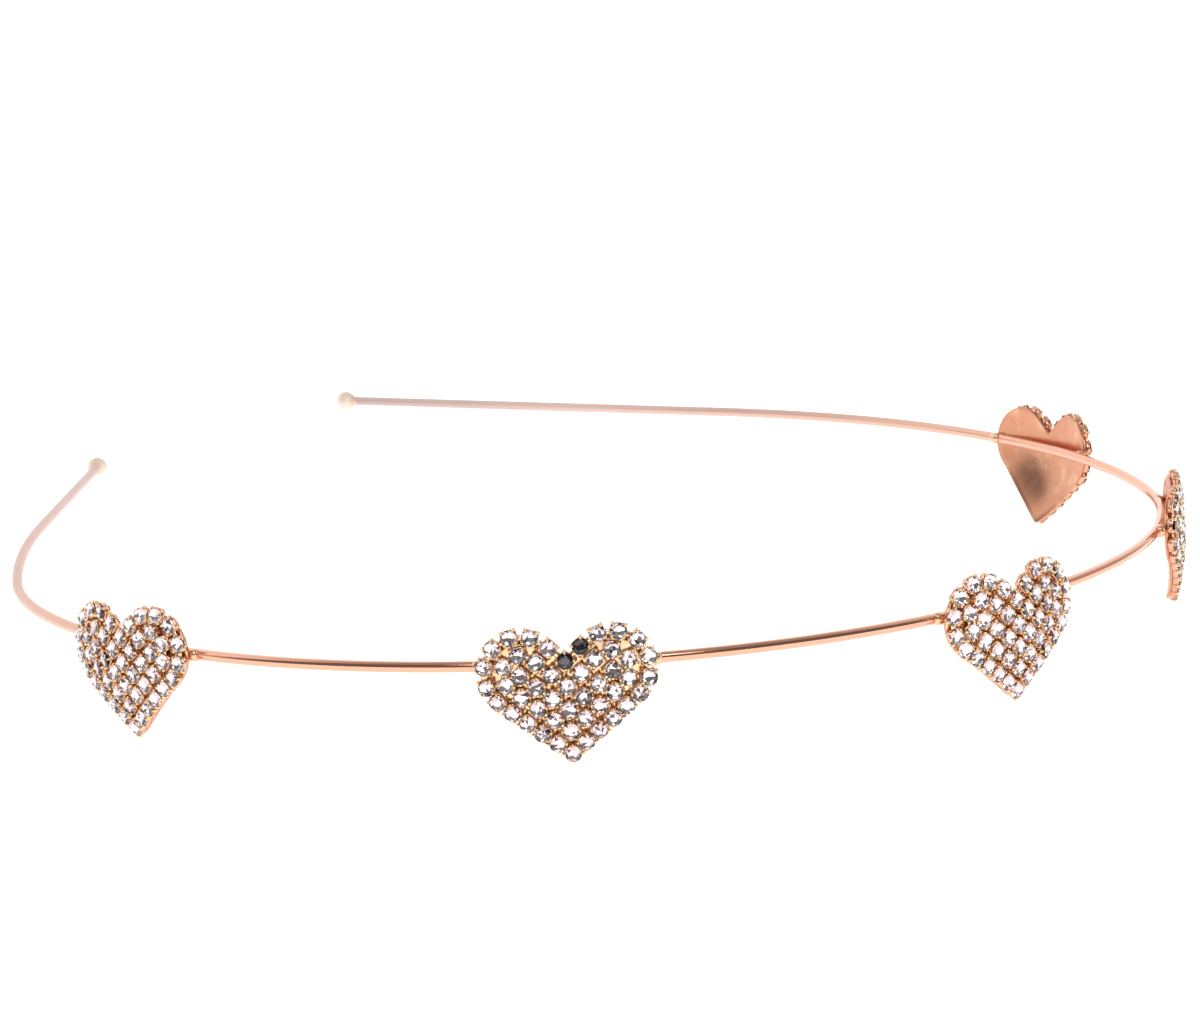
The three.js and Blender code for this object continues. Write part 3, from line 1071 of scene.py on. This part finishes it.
class HEADBAND_OT_stones(bpy.types.Operator):
    """Set the cut stones into their cups"""

    bl_idname = "headband.stones"
    bl_label = "Stones"

    def execute(self, context):
        settings = context.scene.headband
        hoop = Hoop(settings.hoop)
        finishes = [cut_glass_finish(settings.finish), silvering_finish(settings.finish)]
        places = [place for row in stone_rows(settings.heart) for place in row]
        chance = random.Random(STONE_SEED)
        for number, heart in enumerate(HEARTS, 1):
            whole = heart_frame(hoop, settings.heart, heart)
            matrices = []
            for point, _ in places:
                turn = Matrix.Rotation(chance.uniform(0, 2 * math.pi), 4, "Z")
                rock = Matrix.Rotation(chance.gauss(0, STONE_ROCK), 4, "X")
                roll = Matrix.Rotation(chance.gauss(0, STONE_ROCK), 4, "Y")
                seat = dome_frame(settings.heart, point, settings.stone.girdle_level)
                matrices.append(whole @ seat @ rock @ roll @ turn)
            bm = bmesh.new()
            repeated(bm, stone_template(settings.stone), matrices)
            corners = len(bm.verts) // len(places)
            tinge = bm.verts.layers.float.new("tinge")
            dull = bm.verts.layers.float.new("dull")
            tinges = [chance.random() for _ in places]
            for index, vert in enumerate(bm.verts):
                stone = index // corners
                vert[tinge] = tinges[stone]
                vert[dull] = float((number, stone) in DULL_STONES)
            # Each silvered facet gets a value: painted dark as shade for a share of the facets, the rest a
            # lit value painted white or a pinkish half-tone
            facet = bm.faces.layers.float.new("facet")
            for face in bm.faces:
                dark = chance.random() < SHADED[number - 1]
                face[facet] = 1 if dark else chance.uniform(0, LIT_FACET)
            node = f"heart_stones_{number}"
            finished(f"stones_{number}", bm, finishes, "rhinestone", node, smooth=False)
        return {"FINISHED"}


# Floor, light and camera
def pale_floor(colours):
    """Wide level floor under the tips of the hearts."""
    bm = bmesh.new()
    bmesh.ops.create_grid(bm, x_segments=FLOOR_CELLS, y_segments=FLOOR_CELLS, size=FLOOR_REACH)
    mesh = bpy.data.meshes.new("pale_floor")
    bm.to_mesh(mesh)
    bm.free()
    mesh.materials.append(floor_finish(colours))
    floor = bpy.data.objects.new("pale_floor", mesh)
    bpy.context.scene.collection.objects.link(floor)


def studio_world(stage):
    """Room by direction: dark behind the camera and in a low gap, grey overhead and at the right."""
    world = bpy.data.worlds.new("studio")
    world.use_nodes = True
    shader = Shader(world.node_tree)
    direction = shader.node("ShaderNodeTexCoord", output="Generated")
    x, y, height = (shader.axis(direction, name) for name in "XYZ")
    sine = math.sin(stage.heading)
    cosine = math.cos(stage.heading)
    front = (x * -sine - y * cosine).smooth(*FRONT_EDGE)
    right = (x * cosine - y * sine).smooth(*RIGHT_EDGE)
    overhead = height.smooth(*OVERHEAD_EDGE)
    toward = Vector(stage.gap_direction)
    ahead = x * toward.x + y * toward.y
    across = x * toward.y - y * toward.x
    reach = (across / stage.gap_width) ** 2 + ((height - toward.z) / stage.gap_height) ** 2
    gap = (1 - reach).smooth(*GAP_EDGE) * ahead.smooth(*AHEAD_EDGE)
    light = stage.room_light + right * (stage.right_light - stage.room_light)
    light = light + front * (stage.front_light - light)
    light = light + overhead * (stage.overhead_light - light)
    strength = light * (1 - gap * (1 - stage.gap_light))
    background = shader.node("ShaderNodeBackground", inputs={"Color": (1, 1, 1), "Strength": strength})
    shader.node("ShaderNodeOutputWorld", inputs={"Surface": background})
    return world


def softbox(name, place, target, size, power):
    """Square area light that the camera doesn't see."""
    light = bpy.data.lights.new(name, "AREA")
    light.size = size
    light.energy = power
    lamp = bpy.data.objects.new(name, light)
    lamp.matrix_world = turned_to((Vector(place) - Vector(target)).normalized(), Vector(place))
    lamp.visible_camera = False
    bpy.context.scene.collection.objects.link(lamp)


def photo_camera(stage):
    """Camera at its place, turned by its heading, pitch and roll."""
    camera = bpy.data.cameras.new("photo_camera")
    camera.lens = stage.lens
    camera.sensor_width = SENSOR_WIDTH
    camera.clip_end = CAMERA_REACH
    stand = bpy.data.objects.new("photo_camera", camera)
    heading = Matrix.Rotation(-stage.heading, 4, "Z")
    pitch = Matrix.Rotation(math.pi / 2 - stage.pitch, 4, "X")
    roll = Matrix.Rotation(stage.roll, 4, "Z")
    stand.matrix_world = Matrix.Translation(stage.camera_place) @ heading @ pitch @ roll
    bpy.context.scene.collection.objects.link(stand)
    return stand


class HEADBAND_OT_stage(bpy.types.Operator):
    """Lay the floor, hang the lights and stand the camera"""

    bl_idname = "headband.stage"
    bl_label = "Stage"

    def execute(self, context):
        scene = context.scene
        stage = scene.headband.stage
        pale_floor(scene.headband.finish)
        scene.world = studio_world(stage)
        softbox("key_light", stage.key_place, stage.key_target, stage.key_size, stage.key_power)
        softbox("edge_light", stage.edge_place, stage.edge_target, stage.edge_size, stage.edge_power)
        scene.view_settings.view_transform = "Standard"
        scene.camera = photo_camera(stage)
        return {"FINISHED"}


class HEADBAND_PT_panel(bpy.types.Panel):
    """Sizes, colours and steps of the headband"""

    bl_idname = "HEADBAND_PT_panel"
    bl_label = "Heart headband"
    bl_space_type = "VIEW_3D"
    bl_region_type = "UI"
    bl_category = "Headband"

    def draw(self, context):
        settings = context.scene.headband
        for step in STEPS:
            self.layout.operator(step.bl_idname)
        for part in ("hoop", "heart", "stone", "finish", "stage"):
            group = getattr(settings, part)
            box = self.layout.box()
            box.label(text=part.capitalize())
            for name in group.__annotations__:
                box.prop(group, name)


STEPS = (
    HEADBAND_OT_stage,
    HEADBAND_OT_wire_hoop,
    HEADBAND_OT_ball_ends,
    HEADBAND_OT_heart_plates,
    HEADBAND_OT_solder,
    HEADBAND_OT_claw_cups,
    HEADBAND_OT_stones,
)
CLASSES = (
    HoopSizes,
    HeartSizes,
    StoneSizes,
    Finishes,
    StageSizes,
    HeadbandSettings,
    *STEPS,
    HEADBAND_PT_panel,
)


def register():
    for part in CLASSES:
        bpy.utils.register_class(part)
    bpy.types.Scene.headband = bpy.props.PointerProperty(
        type=HeadbandSettings, name="Headband", description="Settings of the heart headband"
    )


def unregister():
    del bpy.types.Scene.headband
    for part in reversed(CLASSES):
        bpy.utils.unregister_class(part)


def main():
    register()
    bpy.ops.headband.stage()
    bpy.ops.headband.wire_hoop()
    bpy.ops.headband.ball_ends()
    bpy.ops.headband.heart_plates()
    bpy.ops.headband.solder()
    bpy.ops.headband.claw_cups()
    bpy.ops.headband.stones()


if __name__ == "__main__":
    main()
